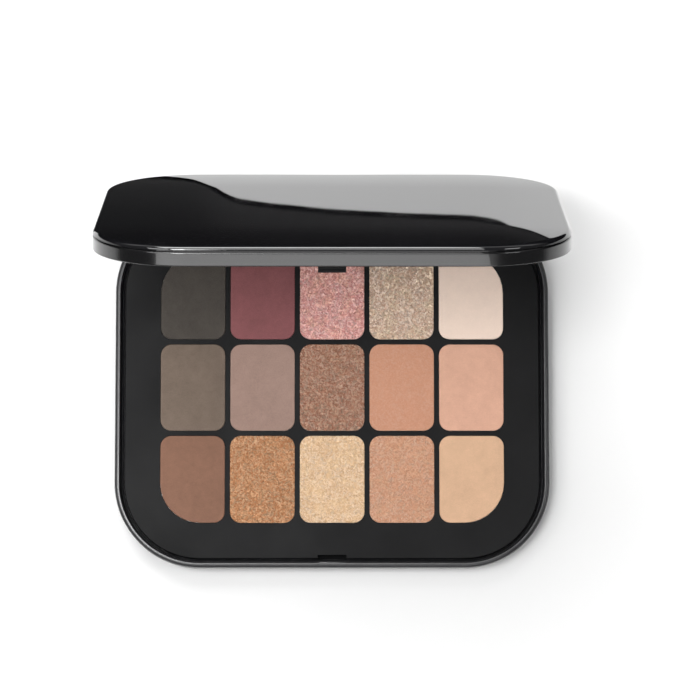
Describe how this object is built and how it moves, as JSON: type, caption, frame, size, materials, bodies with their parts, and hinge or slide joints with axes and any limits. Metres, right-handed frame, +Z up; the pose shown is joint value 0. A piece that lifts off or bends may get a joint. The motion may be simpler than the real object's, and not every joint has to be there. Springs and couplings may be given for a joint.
{
  "type": "eyeshadow palette",
  "caption": "Black compact palette with rounded corners, pressed powders in a grid of metal pans, and a hinged lid with a mirror inside.",
  "frame": {"origin": "centre of the casing's flat underside", "axes": "+X to the right along the length, +Y towards the hinge, +Z up, away from the surface that the palette lies on"},
  "size_m": [0.114, 0.1011, 0.1019],
  "materials": {
    "casing": "polished black moulding",
    "lid_gloss": "high-gloss black lacquer",
    "deck": "fine matt texture",
    "pan_metal": "pressed sheet",
    "pin_steel": "drawn wire",
    "mirror_glass": "polished",
    "tape": "foam adhesive",
    "glue": "dried adhesive",
    "label": "blank satin film",
    "shade_r1c1": "matt charcoal olive pressed powder",
    "shade_r1c2": "matt burgundy pressed powder",
    "shade_r1c3": "pink glitter pressed powder",
    "shade_r1c4": "champagne glitter pressed powder",
    "shade_r1c5": "matt ivory pressed powder",
    "shade_r2c1": "matt grey brown pressed powder",
    "shade_r2c2": "matt mauve taupe pressed powder",
    "shade_r2c3": "bronze glitter pressed powder",
    "shade_r2c4": "satin salmon pressed powder",
    "shade_r2c5": "satin peach pressed powder",
    "shade_r3c1": "matt brown pressed powder",
    "shade_r3c2": "copper gold glitter pressed powder",
    "shade_r3c3": "pale gold glitter pressed powder",
    "shade_r3c4": "rose gold shimmer pressed powder",
    "shade_r3c5": "matt tan pressed powder"
  },
  "bodies": {
    "base": {"base_shell": "casing", "deck_tray": "deck", "pan_glue_dots": "glue", "hinge_pin_left": "pin_steel", "hinge_pin_right": "pin_steel", "underside_label": "label", "pan_r1c1": "pan_metal", "pan_r1c2": "pan_metal", "pan_r1c3": "pan_metal", "pan_r1c4": "pan_metal", "pan_r1c5": "pan_metal", "pan_r2c1": "pan_metal", "pan_r2c2": "pan_metal", "pan_r2c3": "pan_metal", "pan_r2c4": "pan_metal", "pan_r2c5": "pan_metal", "pan_r3c1": "pan_metal", "pan_r3c2": "pan_metal", "pan_r3c3": "pan_metal", "pan_r3c4": "pan_metal", "pan_r3c5": "pan_metal", "powder_r1c1": "shade_r1c1", "powder_r1c2": "shade_r1c2", "powder_r1c3": "shade_r1c3", "powder_r1c4": "shade_r1c4", "powder_r1c5": "shade_r1c5", "powder_r2c1": "shade_r2c1", "powder_r2c2": "shade_r2c2", "powder_r2c3": "shade_r2c3", "powder_r2c4": "shade_r2c4", "powder_r2c5": "shade_r2c5", "powder_r3c1": "shade_r3c1", "powder_r3c2": "shade_r3c2", "powder_r3c3": "shade_r3c3", "powder_r3c4": "shade_r3c4", "powder_r3c5": "shade_r3c5"},
    "lid": {"lid_frame": "casing", "lid_cover": "lid_gloss", "mirror_glass": "mirror_glass", "mirror_tape": "tape"}
  },
  "joints": [
    {"name": "lid_hinge", "type": "hinge", "parent": "base", "child": "lid", "pos_m": [0, 0.0512, 0.00755], "axis": [-1, 0, 0], "range_deg": [-70, 110]}
  ]
}
